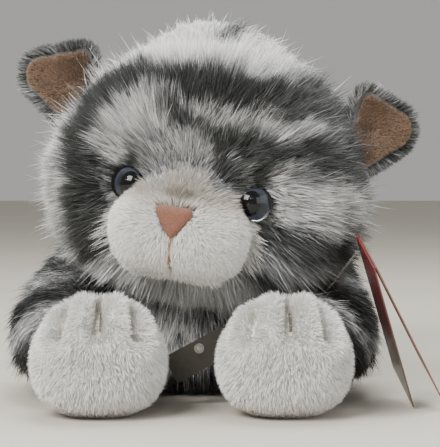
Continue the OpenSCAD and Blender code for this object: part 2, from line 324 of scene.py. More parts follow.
def outer_form(name, node):
    """The closed outer form of a cover that is round all over."""
    obj = bpy.data.objects.new(name, frame["nodes"][node].data.copy())
    bpy.context.scene.collection.objects.link(obj)
    pick(obj)
    bpy.ops.object.mode_set(mode="EDIT")
    bpy.ops.mesh.select_all(action="SELECT")
    bpy.ops.mesh.remove_doubles(threshold=1e-6)
    bpy.ops.mesh.convex_hull()
    bpy.ops.mesh.normals_make_consistent(inside=False)
    bpy.ops.object.mode_set(mode="OBJECT")
    return obj


def solid_form(name, nodes):
    """Cover and fill together, with the seats that other pieces nest in."""
    deselect()
    copies = []
    for i, node in enumerate(nodes):
        obj = bpy.data.objects.new(name + str(i), frame["nodes"][node].data.copy())
        bpy.context.scene.collection.objects.link(obj)
        copies.append(obj)
    pick(copies[0])
    for obj in copies[1:]:
        obj.select_set(True)
    if len(copies) > 1:
        bpy.ops.object.join()
    return copies[0]


def apply_modifier(obj, kind, **values):
    pick(obj)
    bpy.ops.object.modifier_add(type=kind)
    mod = obj.modifiers[-1]
    for key, value in values.items():
        setattr(mod, key, value)
    bpy.ops.object.modifier_apply(modifier=mod.name)


def stuff(obj, pressure, cap):
    """Fills the skin from inside as cloth; no point moves further than cap."""
    start = coords(obj.data)
    pick(obj)
    bpy.ops.object.modifier_add(type="CLOTH")
    cloth = obj.modifiers[-1]
    cloth.settings.quality = 4
    cloth.settings.mass = 0.2
    cloth.settings.use_pressure = True
    cloth.settings.uniform_pressure_force = pressure
    cloth.settings.effector_weights.gravity = 0
    cloth.point_cache.frame_end = 20
    for step in range(1, 21):
        bpy.context.scene.frame_set(step)
    held = obj.evaluated_get(bpy.context.evaluated_depsgraph_get())
    filled = coords(held.data)
    obj.modifiers.remove(cloth)
    bpy.context.scene.frame_set(1)
    move = filled - start
    far = np.linalg.norm(move, axis=1, keepdims=True)
    move *= np.minimum(1, cap / np.maximum(far, 1e-9))
    set_coords(obj.data, start + move)


def sew(name, nodes, voxel=0.004, pressure=4.0, cap=0.002, rounds=4, subdivide=0, bend=None, seats=False):
    """One stuffed skin over the outer forms of these covers."""
    if seats:
        parts = [solid_form(name, nodes)]
    else:
        parts = [outer_form(name + str(i), node) for i, node in enumerate(nodes)]
    pick(parts[0])
    for other in parts[1:]:
        other.select_set(True)
    if len(parts) > 1:
        bpy.ops.object.join()
    skin = parts[0]
    skin.name = name
    skin.data.name = name
    apply_modifier(skin, "REMESH", mode="VOXEL", voxel_size=voxel)
    skin = keep_outer(skin)
    apply_modifier(skin, "SMOOTH", factor=0.5, iterations=rounds)
    if bend:
        bend(skin)
    stuff(skin, pressure, cap)
    if subdivide:
        apply_modifier(skin, "SUBSURF", levels=subdivide, render_levels=subdivide)
    co = coords(skin.data)
    co[:, 2] = np.maximum(co[:, 2], 0.0006)
    set_coords(skin.data, co)
    pick(skin)
    bpy.ops.object.shade_smooth()
    return skin


def keep_outer(skin):
    """Keeps the outer wall where a hollow form has a separate inner one."""
    pick(skin)
    bpy.ops.object.mode_set(mode="EDIT")
    bpy.ops.mesh.select_all(action="SELECT")
    bpy.ops.mesh.separate(type="LOOSE")
    bpy.ops.object.mode_set(mode="OBJECT")
    parts = sorted(bpy.context.selected_objects, key=lambda o: o.dimensions.length)
    name = skin.name
    for part in parts[:-1]:
        bpy.data.objects.remove(part)
    parts[-1].name = name
    parts[-1].data.name = name
    return parts[-1]


def crease(skin, line, depth, width, rise=0.0):
    """Pulls the skin in along a stitched line, and lets it swell on both sides."""
    mesh = skin.data
    co = coords(mesh)
    normals = np.empty(len(mesh.vertices) * 3)
    mesh.vertices.foreach_get("normal", normals)
    normals = normals.reshape(-1, 3)
    far = line_distance(co, np.array(line))
    pull = depth * np.exp(-((far / width) ** 2)) - rise * np.exp(-(((far - 2.2 * width) / width) ** 2))
    set_coords(mesh, co - normals * pull[:, None])


def line_distance(p, line):
    """Shortest distance from each point to a line of points, in any number of dimensions."""
    best = np.full(len(p), 1e9)
    if len(line) == 1:
        return np.linalg.norm(p - line[0], axis=1)
    for a, b in zip(line[:-1], line[1:]):
        ab = b - a
        t = np.clip(((p - a) @ ab) / (ab @ ab), 0, 1)
        best = np.minimum(best, np.linalg.norm(p - (a + t[:, None] * ab), axis=1))
    return best


# ---------- pile ----------


class Pelt:
    """A skin's faces, ready for roots to be set in them."""

    def __init__(self, skin):
        mesh = skin.data
        mesh.calc_loop_triangles()
        tri = np.empty(len(mesh.loop_triangles) * 3, dtype=np.int64)
        mesh.loop_triangles.foreach_get("vertices", tri)
        self.tri = tri.reshape(-1, 3)
        self.co = coords(mesh)
        normals = np.empty(len(mesh.vertices) * 3)
        mesh.vertices.foreach_get("normal", normals)
        self.normals = normals.reshape(-1, 3)
        a, b, c = (self.co[self.tri[:, i]] for i in range(3))
        self.area = np.linalg.norm(np.cross(b - a, c - a), axis=1) / 2

    def roots(self, count, rng, where):
        found_p, found_n, have = [], [], 0
        share = self.area / self.area.sum()
        for _ in range(40):
            face = rng.choice(len(share), size=count, p=share)
            r1, r2 = np.sqrt(rng.random(count)), rng.random(count)
            w = np.stack([1 - r1, r1 * (1 - r2), r1 * r2], 1)[:, :, None]
            p = (self.co[self.tri[face]] * w).sum(1)
            n = unit((self.normals[self.tri[face]] * w).sum(1))
            keep = rng.random(count) < where(p, n)
            found_p.append(p[keep])
            found_n.append(n[keep])
            have += int(keep.sum())
            if have >= count:
                break
        return np.concatenate(found_p)[:count], np.concatenate(found_n)[:count]


def grow(p, n, t, length, rise, droop):
    """Middle lines of strands that lift off the skin and lie over along t."""
    points = [p]
    here = p.copy()
    for i in range(SPANS):
        s = (i + 0.5) / SPANS
        angle = rise[0] + (rise[1] - rise[0]) * s
        way = np.cos(angle)[:, None] * t + np.sin(angle)[:, None] * n
        way[:, 2] -= droop * s
        here = here + unit(way) * (length / SPANS)[:, None]
        points.append(here)
    return np.stack(points)


def pile(name, pelt, body, mat, count, seed, length, comb, tone,
         width=0.0005, rise=(55, 12), droop=0.25, lock=14, gather=0.55, where=None,
         tone_noise=0.1, strays=0.0):
    """One piece of pile: blades set in the pelt, combed, gathered in locks and toned."""
    rng = np.random.default_rng(seed)
    if where is None:
        def where(p, n):
            return np.ones(len(p))
    total = max(60, int(count * pile_sizes().fullness))
    p, n = pelt.roots(total, rng, where)
    total = len(p)
    t = comb(p, n)
    t = unit(t - (t * n).sum(1)[:, None] * n)
    side = np.cross(n, t)
    swirl = 0.42 * waves(p, 0.016, seed + 5) + rng.normal(0, 0.2, total)
    t = unit(t + side * swirl[:, None])
    size = length(p, n) * (1 + rng.uniform(-RAGGED, RAGGED * 0.6, total))
    jitter = rng.normal(0, 0.13, total)
    stray = (rng.random(total) < strays) * rng.random(total)
    size *= 1 + 0.4 * stray
    jitter += 0.35 * stray
    rise0 = np.radians(rise[0]) + jitter
    rise1 = np.radians(rise[1]) + jitter * 0.6
    lines = grow(p, n, t, size, (rise0, rise1), droop)
    locks = max(4, total // lock)
    tree = kdtree.KDTree(locks)
    for i in range(locks):
        tree.insert(p[i], i)
    tree.balance()
    near = np.fromiter((tree.find(q)[1] for q in p), dtype=np.int64, count=total)
    for j in range(1, SPANS + 1):
        pull = gather * (j / SPANS) ** 1.4 * (1 - stray)[:, None]
        lines[j] += pull * (lines[j][near] - lines[j])
    floor = 0.0005 + 0.0012 * rng.random(total)
    for j in range(SPANS + 1):
        lines[j][:, 2] = np.maximum(lines[j][:, 2], floor)
    turn = rng.uniform(-1.1, 1.1, total)
    facing = np.cos(turn)[:, None] * n + np.sin(turn)[:, None] * np.cross(t, n)
    across = unit(np.cross(lines[-1] - lines[0], facing))
    half = width * (0.5 + 0.14 * rng.random(total))
    verts = []
    for j, k in enumerate(TAPER):
        verts += [lines[j] - across * (half * k)[:, None], lines[j] + across * (half * k)[:, None]]
    verts.append(lines[-1])
    verts = np.stack(verts, 1)
    lock_tone = rng.normal(0, tone_noise * 0.6, locks)[near]
    shade = np.clip(tone(p, n) + rng.normal(0, tone_noise, total) + lock_tone, 0.02, 0.98)
    build_blades(name, verts.reshape(-1, 3), shade, mat)
    obj = bpy.data.objects[name]
    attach(obj, body)
    return obj


def build_blades(name, verts, shade, mat):
    """One mesh of narrow blades, with tone and root-to-tip place in its map."""
    mesh = bpy.data.meshes.new(name)
    total, each, quads = len(shade), 2 * SPANS + 1, SPANS - 1
    pattern = []
    for q in range(quads):
        a = 2 * q
        pattern += [a, a + 1, a + 3, a + 2]
    pattern += [2 * quads, 2 * quads + 1, each - 1]
    pattern = np.array(pattern)
    loops = (np.arange(total)[:, None] * each + pattern).ravel()
    sizes = np.tile([4] * quads + [3], total)
    starts = np.concatenate([[0], np.cumsum(sizes)[:-1]])
    mesh.vertices.add(len(verts))
    mesh.vertices.foreach_set("co", verts.astype(np.float32).ravel())
    mesh.loops.add(len(loops))
    mesh.loops.foreach_set("vertex_index", loops.astype(np.int32))
    mesh.polygons.add(len(sizes))
    mesh.polygons.foreach_set("loop_start", starts.astype(np.int32))
    mesh.polygons.foreach_set("use_smooth", np.ones(len(sizes), dtype=bool))
    mesh.update(calc_edges=True)
    layer = mesh.uv_layers.new(name=BAKE_MAP)
    u_side = np.array([-1, 1] * SPANS + [0]) * 0.012
    v_place = np.repeat(np.arange(SPANS) / SPANS, 2)
    v_place = np.concatenate([v_place, [1.0]]) * 0.96 + 0.02
    u = (shade[:, None] + u_side[None]).ravel()
    v = np.tile(v_place, total)
    uv = np.stack([u[loops], v[loops]], 1)
    layer.data.foreach_set("uv", uv.astype(np.float32).ravel())
    mesh.materials.append(mat)
    obj = bpy.data.objects.new(name, mesh)
    bpy.context.scene.collection.objects.link(obj)


def tone_skin(skin, tone, mat):
    """Writes the pile's tone on the backing and gives it its material."""
    mesh = skin.data
    co = coords(mesh)
    layer = mesh.attributes.new("pile_tone", "FLOAT", "POINT")
    layer.data.foreach_set("value", np.clip(tone(co, None), 0, 1).astype(np.float32))
    dress(skin, mat)


# ---------- the head's own frame, and its markings ----------


class HeadFrame:
    """Turns room positions into the head's own, in millimetres: x across, -y forward, z up."""

    def __init__(self):
        places = {j["name"]: np.array(j["pos_m"]) for j in frame["joints"]}
        left, right = places["ear_fold_left"], places["ear_fold_right"]
        span = np.linalg.norm(right - left)
        across = (right - left) / span
        roll = -math.asin(across[2])
        yaw = math.atan2(across[1], across[0])
        self.turn = np.array(Matrix.Rotation(yaw, 3, "Z") @ Matrix.Rotation(roll, 3, "Y"))
        self.centre = (left + right) / 2 - self.turn @ np.array([0, 0.002, 0.2422 * span])
        self.eyes = self.local(np.array([middle("eye_iris_left"), middle("eye_iris_right")]))

    def local(self, p):
        return (p - self.centre) @ self.turn / MM

    def room(self, q):
        return np.asarray(q, dtype=float) * MM @ self.turn.T + self.centre

    def way(self, v):
        return np.asarray(v, dtype=float) @ self.turn.T


# Markings on the face: points across and up from the head's middle in millimetres,
# how wide the stroke fades, the tone it paints and how strongly.
FACE_MARKS = [
    ([(-60, 46), (-30, 58), (0, 62), (26, 62)], 15, 0.97, 1.0),
    ([(-76, 30), (-78, 8), (-78, -14), (-74, -34)], 12, 0.84, 0.9),
    ([(40, 60), (54, 50), (66, 42)], 8, 0.55, 0.6),
    ([(-60, 8), (-54, 24), (-40, 36), (-10, 40), (6, 40), (20, 37), (34, 38)], 7.0, 0.08, 0.95),
    ([(34, 38), (50, 38), (64, 32), (74, 16)], 7.0, 0.22, 0.8),
    ([(46, 48), (52, 54)], 5, 0.25, 0.6),
    ([(-38, 28), (-18, 32), (2, 31), (18, 27), (32, 26), (50, 25)], 2.8, 0.72, 0.8),
    ([(-18, 28), (-8, 25), (6, 20), (18, 15), (34, 14), (48, 17), (64, 14)], 4.6, 0.12, 0.9),
    ([(-14, 20), (-4, 19), (8, 14)], 2.6, 0.2, 0.8),
    ([(-42, 8), (-32, 17), (-22, 21)], 6.5, 0.74, 0.95),
    ([(-4, 12), (-2, -8)], 11, 0.62, 0.95),
    ([(12, 14), (15, 4), (20, -4)], 4.2, 0.2, 0.8),
    ([(24, 8), (40, 8)], 5, 0.2, 0.8),
    ([(48, 0), (60, -8), (54, -16)], 10, 0.74, 0.85),
    ([(52, 9), (68, 11), (80, 8)], 4, 0.3, 0.7),
    ([(60, 0), (82, -4)], 4, 0.78, 0.6),
    ([(-40, -3), (-52, 2), (-64, 9)], 3.5, 0.2, 0.7),
    ([(-38, 3), (-50, 7)], 3, 0.66, 0.5),
    ([(-55, -2), (-52, -18), (-44, -38)], 7, 0.12, 0.9),
    ([(-68, -8), (-66, -26), (-60, -42)], 6, 0.62, 0.8),
    ([(42, -24), (58, -24), (74, -26)], 6.5, 0.16, 0.85),
    ([(36, -46), (54, -46), (70, -42)], 8, 0.16, 0.85),
    ([(42, -35), (60, -36), (72, -34)], 4.5, 0.6, 0.7),
    ([(-36, -53), (0, -56), (30, -53)], 11, 0.86, 0.95),
    ([(-29, 2)], 5.5, 0.16, 0.7),
    ([(34, 2)], 6, 0.14, 0.8),
    ([(-14, -31), (14, -31)], 14, 1.0, 1.0),
]


def paint_marks(x, z, marks, tone):
    p = np.stack([x, z], 1)
    for line, wide, target, strength in marks:
        far = line_distance(p, np.array(line, dtype=float))
        k = strength * np.exp(-((far / wide) ** 4) * 0.7)
        tone = tone + (target - tone) * k
    return tone


def head_tone(head):
    def tone(p, n):
        q = head.local(p)
        far = np.hypot(q[:, 0], q[:, 2] + 12) + 1e-6
        seen = 1 + 9.5 * smooth_step(12, 42, far) / far
        x = q[:, 0] * seen + 2.2 * waves(p, 0.02, 31)
        z = (q[:, 2] + 12) * seen - 12 + 1.8 * waves(p, 0.016, 32)
        front = paint_marks(x, z, FACE_MARKS, np.full(len(p), 0.55))
        bands = np.sin(q[:, 1] / 6.5 + q[:, 2] / 17 + 1.2 * waves(p, 0.05, 33))
        back = 0.52 + 0.36 * bands + 0.1 * (q[:, 2] > 30)
        k = smooth_step(-6, 16, q[:, 1] - 0.1 * q[:, 2])
        return front * (1 - k) + back * k
    return tone


def head_comb(head):
    """Pile fans out from the bridge of the nose, over the crown and off the cheeks."""
    def comb(p, n):
        q = head.local(p)
        away = q - np.array([0, -72, -12])
        away[:, 2] += 6
        away[:, 2] -= 9 * smooth_step(10, -40, q[:, 2]) * smooth_step(20, 60, np.abs(q[:, 0]))
        return unit(head.way(unit(away)))
    return comb


# ---------- operators: one for each piece or group of like pieces ----------


class KITTEN_OT_camera(bpy.types.Operator):
    """Camera in front of the kitten, low and looking slightly down"""

    bl_idname = "kitten.camera"
    bl_label = "Camera"

    def execute(self, context):
        data = bpy.data.cameras.new("front_camera")
        data.sensor_width = 36
        data.sensor_fit = "HORIZONTAL"
        data.lens = 130
        data.clip_start = 0.01
        cam = bpy.data.objects.new("front_camera", data)
        cam.location = (0.013, -0.85, 0.110)
        cam.rotation_euler = (math.radians(90 - 1.75), 0, 0)
        context.scene.collection.objects.link(cam)
        context.scene.camera = cam
        return {"FINISHED"}


class KITTEN_OT_stage(bpy.types.Operator):
    """Plain pale floor and soft studio light"""

    bl_idname = "kitten.stage"
    bl_label = "Floor and light"

    def execute(self, context):
        deselect()
        bpy.ops.mesh.primitive_circle_add(vertices=96, radius=6, fill_type="NGON", location=(0, 0, 0))
        floor = context.object
        floor.name = "studio_floor"
        mat = grained_material("studio_floor", (0.60, 0.565, 0.49), (0.575, 0.54, 0.465), 3, 0.0001, 0.6, 0.05)
        dress(floor, mat)
        self.softbox("key_light", (-0.75, -1.05, 1.05), 0.8, 40, (1.0, 0.985, 0.96))
        self.softbox("fill_light", (1.15, -0.95, 0.55), 1.0, 9, (0.95, 0.975, 1.0))
        self.softbox("top_light", (0.1, 0.25, 1.35), 0.9, 20, (1.0, 1.0, 1.0))
        self.softbox("catch_light", (0.12, -1.15, 0.75), 0.035, 1.4, (1.0, 1.0, 1.0))
        self.softbox("low_catch_light", (-0.35, -1.2, 0.05), 0.03, 0.35, (0.95, 0.98, 1.0))
        world = bpy.data.worlds.new("studio")
        world.use_nodes = True
        back = world.node_tree.nodes["Background"]
        back.inputs["Color"].default_value = (0.80, 0.79, 0.76, 1)
        back.inputs["Strength"].default_value = 0.52
        context.scene.world = world
        return {"FINISHED"}

    def softbox(self, name, place, size, power, colour):
        data = bpy.data.lights.new(name, "AREA")
        data.shape = "SQUARE"
        data.size = size
        data.energy = power
        data.color = colour
        lamp = bpy.data.objects.new(name, data)
        lamp.location = place
        aim = Vector((0, -0.03, 0.08)) - Vector(place)
        lamp.rotation_euler = aim.to_track_quat("-Z", "Y").to_euler()
        bpy.context.scene.collection.objects.link(lamp)


class KITTEN_OT_inner_parts(bpy.types.Operator):
    """Looks of the fill, pellets, neck, washers, pins and label, which stay as the frame has them"""

    bl_idname = "kitten.inner_parts"
    bl_label = "Inner and small parts"

    def execute(self, context):
        fill = grained_material("stuffing_fibre", (0.88, 0.87, 0.84), (0.7, 0.69, 0.66), 420, 0.0012, 0.95)
        calico = grained_material("pellet_calico", (0.72, 0.68, 0.58), (0.6, 0.56, 0.47), 900, 0.0004, 0.9)
        white_plastic = grained_material("washer_plastic", (0.78, 0.77, 0.73), (0.72, 0.71, 0.67),
                                         300, 0.0001, 0.45)
        nylon = grained_material("pin_nylon", (0.45, 0.43, 0.38), (0.38, 0.36, 0.31),
                                 500, 0.00005, 0.3, Alpha=0.22)
        satin = grained_material("label_satin", (0.88, 0.87, 0.84), (0.8, 0.79, 0.76), 1600, 0.0001, 0.4)
        for node in frame["nodes"]:
            if "stuffing" in node:
                dress_node(node, fill)
            elif node == "pellet_bag":
                dress_node(node, calico)
            elif node.startswith("eye_washer"):
                dress_node(node, white_plastic)
            elif node.endswith("_pin"):
                dress_node(node, nylon)
            elif node == "care_label":
                dress_node(node, satin)
        return {"FINISHED"}


class KITTEN_OT_head(bpy.types.Operator):
    """Head with its muzzle: a stuffed skin, long tabby pile and the clipped white muzzle"""

    bl_idname = "kitten.head"
    bl_label = "Head"

    def execute(self, context):
        head = HeadFrame()
        sizes = pile_sizes()
        skin = sew("head_skin", ["head_cover", "head_stuffing", "muzzle_cover", "muzzle_stuffing"],
                   0.0034, 4.0, 0.0015, 6, seats=True)
        mouth = [head.room((0, y, z)) for y, z in ((-70, -28), (-69.5, -36), (-66, -43))]
        crease(skin, mouth, 0.0026, 0.0036)
        for eye in head.eyes:
            crease(skin, [head.room(eye + [0, 1, 0])], 0.002, 0.009)
        tone = head_tone(head)
        tone_skin(skin, tone, backing_material("head_backing", tabby_stops()))
        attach(skin, "head")
        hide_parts("head_cover", "muzzle_cover")
        pelt = Pelt(skin)
        tabby = pile_material("tabby_pile", tabby_stops())
        comb = head_comb(head)
        eye_spots = [head.room(eye) for eye in head.eyes]

        def muzzle_near(q):
            """1 on the muzzle, 0 away from it."""
            far = line_distance(np.stack([q[:, 0], q[:, 2] * 1.15], 1),
                                np.array([(-12, -33), (12, -33)], dtype=float))
            bridge = line_distance(np.stack([q[:, 0], q[:, 2]], 1),
                                   np.array([(0, -24), (0, -14)], dtype=float))
            front = smooth_step(-32, -46, q[:, 1])
            return front * np.maximum(smooth_step(23, 16, far), 0.9 * smooth_step(13, 8, bridge))

        def face_near(q):
            """1 beside the eyes and on the bridge, where the pile is clipped short."""
            eye = np.min([np.hypot(q[:, 0] - e[0], q[:, 2] - e[2]) for e in head.eyes], axis=0)
            bridge = line_distance(np.stack([q[:, 0], q[:, 2]], 1),
                                   np.array([(0, -20), (0, 8)], dtype=float))
            front = smooth_step(-20, -36, q[:, 1])
            return front * np.maximum(smooth_step(20, 9, eye), smooth_step(26, 8, bridge))

        def length(p, n):
            q = head.local(p)
            long_pile = sizes.head_pile * (1 + 0.2 * waves(p, 0.03, 71))
            for spot in ear_spots:
                long_pile *= 1 + 0.4 * np.exp(-((np.linalg.norm(p - spot, axis=1) / 0.02) ** 2))
            short = 0.0065 + 0.0025 * smooth_step(-2, 14, q[:, 2])
            out = long_pile * (1 - face_near(q)) + short * face_near(q)
            k = muzzle_near(q)
            return out * (1 - k) + sizes.muzzle_pile * k

        neck_middle = middle("neck_core")
        ear_spots = [np.array(j["pos_m"]) for j in frame["joints"] if j["name"].startswith("ear_fold")]

        def clear_of_face(p):
            """No roots under the eyes or the nose, nor near the neck."""
            q = head.local(p)
            keep = np.ones(len(p))
            for spot in eye_spots:
                keep *= np.linalg.norm(p - spot, axis=1) > EYE_CLEARANCE
            nose = np.abs(q[:, 0]) < 7.5 + (q[:, 2] + 19) * 0.55
            nose = nose & (np.abs(q[:, 2] + 22) < 5.5) & (q[:, 1] < -40)
            neck = np.linalg.norm(p - neck_middle, axis=1) > NECK_CLEARANCE
            return keep * neck * (1 - nose)

        def region(test):
            def where(p, n):
                q = head.local(p)
                return clear_of_face(p) * test(q)
            return where

        regions = {
            "head_pile_face": (58000, lambda q: (1 - muzzle_near(q)) * (q[:, 1] < -22)),
            "head_pile_left": (40000, lambda q: (q[:, 1] >= -24) * (q[:, 0] < -18)),
            "head_pile_right": (40000, lambda q: (q[:, 1] >= -24) * (q[:, 0] > 18)),
            "head_pile_crown": (36000, lambda q: (q[:, 1] >= -24) * (np.abs(q[:, 0]) <= 20)),
        }
        for i, (name, (count, test)) in enumerate(regions.items()):
            pile(name, pelt, "head", tabby, count, 100 + i, length, comb, tone,
                 width=0.00031, rise=(54, 14), droop=0.2, where=region(test), strays=0.06,
                 lock=16)

        white = pile_material("muzzle_pile", white_stops(), 0.82, 0.5)

        def muzzle_comb(p, n):
            q = head.local(p)
            away = np.stack([q[:, 0] * 1.1, np.full(len(q), 6.0), q[:, 2] + 18], 1)
            return unit(head.way(unit(away)))

        def muzzle_tone(p, n):
            q = head.local(p)
            base = 0.93 + 0.04 * waves(p, 0.012, 41)
            line = line_distance(np.stack([q[:, 0], q[:, 2]], 1), np.array([(0, -28), (0, -43)], dtype=float))
            dimples = np.minimum(np.hypot(q[:, 0] + 12, q[:, 2] + 35), np.hypot(q[:, 0] - 15, q[:, 2] + 33))
            top = smooth_step(-21, -12, q[:, 2])
            nose_top_shade_far = np.hypot(q[:, 0] * 0.55, q[:, 2] + 13.5)
            # Painted shade: darker along the mouth crease, in the two dimples and along the top edge of the nose;
            # the top greys into the bridge.
            return (base - 0.3 * np.exp(-((line / 1.3) ** 2)) - 0.2 * np.exp(-((dimples / 3.5) ** 2))
                    - 0.74 * top - 0.8 * np.exp(-((nose_top_shade_far / 2.0) ** 2)))

        def muzzle_where(p, n):
            q = head.local(p)
            lips = (np.abs(q[:, 0]) < 0.7) & (q[:, 2] < -27) & (q[:, 2] > -43) & (q[:, 1] < -50)
            return clear_of_face(p) * muzzle_near(q) * (1 - lips)

        pile("muzzle_pile", pelt, "head", white, 48000, 120, length, muzzle_comb, muzzle_tone,
             width=0.00029, rise=(66, 36), droop=0.1, lock=9, gather=0.25, where=muzzle_where,
             tone_noise=0.04)
        return {"FINISHED"}


class KITTEN_OT_eyes(bpy.types.Operator):
    """Safety eyes: a black post, a smoky painted bowl, a black pupil and a clear glossy dome"""

    bl_idname = "kitten.eyes"
    bl_label = "Eyes"

    def cap(self, name, radius, height, turn, place):
        """A shallow closed dome on +Z, turned and put in place."""
        deselect()
        ball = (radius * radius + height * height) / (2 * height)
        bpy.ops.mesh.primitive_uv_sphere_add(segments=64, ring_count=64, radius=ball,
                                             location=(0, 0, height - ball))
        obj = bpy.context.object
        obj.name = name
        bpy.ops.object.transform_apply(location=True, rotation=True, scale=True)
        bpy.ops.object.mode_set(mode="EDIT")
        bpy.ops.mesh.select_all(action="SELECT")
        bpy.ops.mesh.bisect(plane_co=(0, 0, 0), plane_no=(0, 0, 1), clear_inner=True, use_fill=True)
        bpy.ops.mesh.select_all(action="SELECT")
        bpy.ops.mesh.normals_make_consistent(inside=False)
        bpy.ops.object.mode_set(mode="OBJECT")
        obj.data.transform(Matrix.Translation(Vector(place)) @ turn.to_4x4())
        pick(obj)
        bpy.ops.object.shade_smooth_by_angle(angle=math.radians(40))
        return obj

    def execute(self, context):
        head = HeadFrame()
        clear, _, _ = new_material("eye_dome_clear", 0.02, Alpha=0.06, IOR=1.45, Specular_IOR_Level=0.5)
        clear.node_tree.nodes["Principled BSDF"].inputs["Base Color"].default_value = (0.01, 0.011, 0.013, 1)
        black = grained_material("eye_black", (0.004, 0.004, 0.005), (0.003, 0.003, 0.0035), 200, 0.00001, 0.05,
                                 0.02, Specular_IOR_Level=0.35)
        for side, s in (("left", -1), ("right", 1)):
            low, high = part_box("eye_iris_" + side)
            seat = (np.array(low) + np.array(high)) / 2
            way = head.way(unit(np.array([s * 0.30, -1.0, 0.02])))
            turn = Vector(way).to_track_quat("Z", "Y").to_matrix()
            seat = seat + 0.0002 * way
            iris = self.cap("eye_bowl_" + side, BOWL_RADIUS, 0.0030, turn, seat)
            dress(iris, self.iris_material("eye_bowl_" + side, seat, turn))
            inward = head.way((-s, 0, 0)) - way * (head.way((-s, 0, 0)) @ way)
            spot = seat + 0.0014 * unit(inward) + 0.0010 * way
            pupil = self.cap("eye_pupil_dot_" + side, PUPIL_RADIUS, 0.0026, turn, spot)
            dress(pupil, black)
            dome = self.cap("eye_dome_" + side, DOME_RADIUS, 0.0050, turn, seat - 0.0003 * way)
            dress(dome, clear)
            dress_node("eye_post_" + side, black)
            for piece, node, slot in ((iris, "eye_iris_", "eye_grey"), (pupil, "eye_pupil_", "eye_black"),
                                      (dome, "eye_lens_", "eye_clear")):
                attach(piece, "head")
                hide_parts(node + side)
        return {"FINISHED"}

    def iris_material(self, name, seat, turn):
        """Smoky blue-grey, lighter half way out, with fine rays and a dark rim."""
        mat, tree, shader = new_material(name, 0.1, Specular_IOR_Level=0.3)
        place = tree.nodes.new("ShaderNodeTexCoord")
        shift = tree.nodes.new("ShaderNodeMapping")
        shift.vector_type = "TEXTURE"
        shift.inputs["Location"].default_value = seat
        shift.inputs["Rotation"].default_value = turn.to_euler()
        away = tree.nodes.new("ShaderNodeVectorMath")
        away.operation = "LENGTH"
        rays = tree.nodes.new("ShaderNodeTexNoise")
        rays.inputs["Scale"].default_value = 700
        total = tree.nodes.new("ShaderNodeMath")
        total.operation = "MULTIPLY_ADD"
        total.inputs[1].default_value = 0.0012
        ramp = ramp_node(tree, [(0.0, (0.008, 0.009, 0.011)), (0.6, (0.016, 0.019, 0.025)),
                                (0.9, (0.042, 0.050, 0.066)), (1.0, (0.014, 0.015, 0.018))])
        grade = tree.nodes.new("ShaderNodeMapRange")
        grade.inputs["From Max"].default_value = 0.0082
        tree.links.new(place.outputs["Object"], shift.inputs["Vector"])
        tree.links.new(shift.outputs["Vector"], away.inputs[0])
        tree.links.new(shift.outputs["Vector"], rays.inputs["Vector"])
        tree.links.new(rays.outputs[0], total.inputs[0])
        tree.links.new(away.outputs["Value"], total.inputs[2])
        tree.links.new(total.outputs[0], grade.inputs["Value"])
        tree.links.new(grade.outputs["Result"], ramp.inputs[0])
        tree.links.new(ramp.outputs["Color"], shader.inputs["Base Color"])
        return mat


def laid_thread(name, line, radius, mat):
    """A round sewing thread along a line of points."""
    curve = bpy.data.curves.new(name, "CURVE")
    curve.dimensions = "3D"
    curve.bevel_depth = radius
    curve.bevel_resolution = 3
    curve.use_fill_caps = True
    spline = curve.splines.new("NURBS")
    spline.points.add(len(line) - 1)
    for point, place in zip(spline.points, line):
        point.co = (*place, 1)
    spline.use_endpoint_u = True
    spline.order_u = 4
    obj = bpy.data.objects.new(name, curve)
    bpy.context.scene.collection.objects.link(obj)
    pick(obj)
    bpy.ops.object.convert(target="MESH")
    obj = bpy.context.object
    dress(obj, mat)
    bpy.ops.object.shade_smooth()
    return obj


def skin_tree(skin):
    return BVHTree.FromObject(skin, bpy.context.evaluated_depsgraph_get())


class KITTEN_OT_nose_and_mouth(bpy.types.Operator):
    """Flocked nose with a drawn-in edge, and the thread of the mouth"""

    bl_idname = "kitten.nose_and_mouth"
    bl_label = "Nose and mouth"

    def execute(self, context):
        head = HeadFrame()
        clay = tuple(colours().nose_clay)
        nose = sew("nose_pad", ["nose"], 0.0011, 2.0, 0.0003, 2, 1)
        dress(nose, grained_material("nose_flock", clay, scaled(clay, 0.62), 1500, 0.00025, 0.75, 0.8,
                                     Sheen_Weight=0.12))
        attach(nose, "head")
        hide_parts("nose")
        tree = skin_tree(bpy.data.objects["head_skin"])
        thread = grained_material("mouth_thread", (0.33, 0.125, 0.055), (0.2, 0.075, 0.035), 2600, 0.0003, 0.6)
        line = []
        for z in np.linspace(-27, -42, 9):
            start = Vector(head.room((0.35 * math.sin(z), -95, z)))
            spot, normal, _, _ = tree.ray_cast(start, Vector(head.way((0, 1, 0))))
            if spot is None:
                raise RuntimeError("the mouth's line misses the muzzle")
            line.append(spot + normal * 0.0030)
        mouth = laid_thread("mouth_thread", line, MOUTH_THREAD_RADIUS, thread)
        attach(mouth, "head")
        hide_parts("mouth_stitch")
        return {"FINISHED"}


